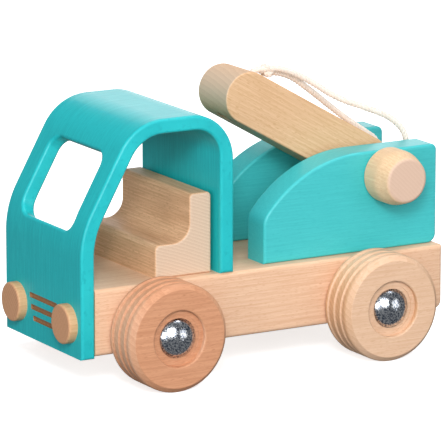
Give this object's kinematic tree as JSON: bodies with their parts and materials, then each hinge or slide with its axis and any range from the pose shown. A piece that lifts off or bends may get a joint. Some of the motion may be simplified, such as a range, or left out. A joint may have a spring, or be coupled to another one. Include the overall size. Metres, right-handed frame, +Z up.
{
  "type": "toy tow truck",
  "caption": "Wooden toy tow truck with a bent cab, seat bench, turned wheels with chrome hub caps, and a swinging boom with a knotted rope loop.",
  "frame": {"origin": "on the ground under the middle of the truck's length and width", "axes": "+X towards the front of the cab, +Y to the truck's left side, +Z up"},
  "size_m": [0.226, 0.1418, 0.1555],
  "materials": {
    "beech_chassis": "planed natural beech, clear matt oil",
    "stained_cab": "turquoise water stain, satin clear lacquer",
    "beech_seat": "natural beech, clear matt oil",
    "stained_plates": "turquoise water stain, satin clear lacquer",
    "beech_boom": "natural beech, clear matt oil",
    "beech_turned": "turned natural beech, clear satin oil",
    "beech_wheel": "turned steamed beech, clear satin oil",
    "beech_dowel": "plain beech dowel",
    "chrome_cap": "bright chrome plate on pressed steel",
    "steel_axle": "drawn steel rod, zinc-plated",
    "cotton_rope": "twisted undyed cotton"
  },
  "bodies": {
    "truck": {"chassis": "beech_chassis", "cab_shell": "stained_cab", "seat_bench": "beech_seat", "headlight_left": "beech_turned", "headlight_right": "beech_turned", "side_plate_left": "stained_plates", "side_plate_right": "stained_plates", "front_axle": "steel_axle", "rear_axle": "steel_axle", "hub_cap_front_left": "chrome_cap", "hub_cap_front_right": "chrome_cap", "hub_cap_rear_left": "chrome_cap", "hub_cap_rear_right": "chrome_cap", "side_plate_dowels": "beech_dowel", "seat_dowels": "beech_dowel", "cab_rear_dowels": "beech_dowel", "cab_front_dowels": "beech_dowel"},
    "boom_arm": {"boom": "beech_boom", "boom_pivot": "beech_dowel", "knob_left": "beech_turned", "knob_right": "beech_turned", "tow_rope": "cotton_rope", "rope_knot": "cotton_rope", "rope_stopper": "cotton_rope"},
    "front_left_wheel": {"wheel_front_left": "beech_wheel"},
    "front_right_wheel": {"wheel_front_right": "beech_wheel"},
    "rear_left_wheel": {"wheel_rear_left": "beech_wheel"},
    "rear_right_wheel": {"wheel_rear_right": "beech_wheel"}
  },
  "joints": [
    {"name": "boom_swing", "type": "hinge", "parent": "truck", "child": "boom_arm", "pos_m": [-0.081, 0, 0.0951], "axis": [0, -1, 0], "range_deg": [-21, 150]},
    {"name": "front_left_spin", "type": "hinge", "parent": "truck", "child": "front_left_wheel", "pos_m": [0.0638, 0.0563, 0.029], "axis": [0, 1, 0], "continuous": true},
    {"name": "front_right_spin", "type": "hinge", "parent": "truck", "child": "front_right_wheel", "pos_m": [0.0638, -0.0563, 0.029], "axis": [0, 1, 0], "continuous": true},
    {"name": "rear_left_spin", "type": "hinge", "parent": "truck", "child": "rear_left_wheel", "pos_m": [-0.0662, 0.0563, 0.029], "axis": [0, 1, 0], "continuous": true},
    {"name": "rear_right_spin", "type": "hinge", "parent": "truck", "child": "rear_right_wheel", "pos_m": [-0.0662, -0.0563, 0.029], "axis": [0, 1, 0], "continuous": true}
  ]
}
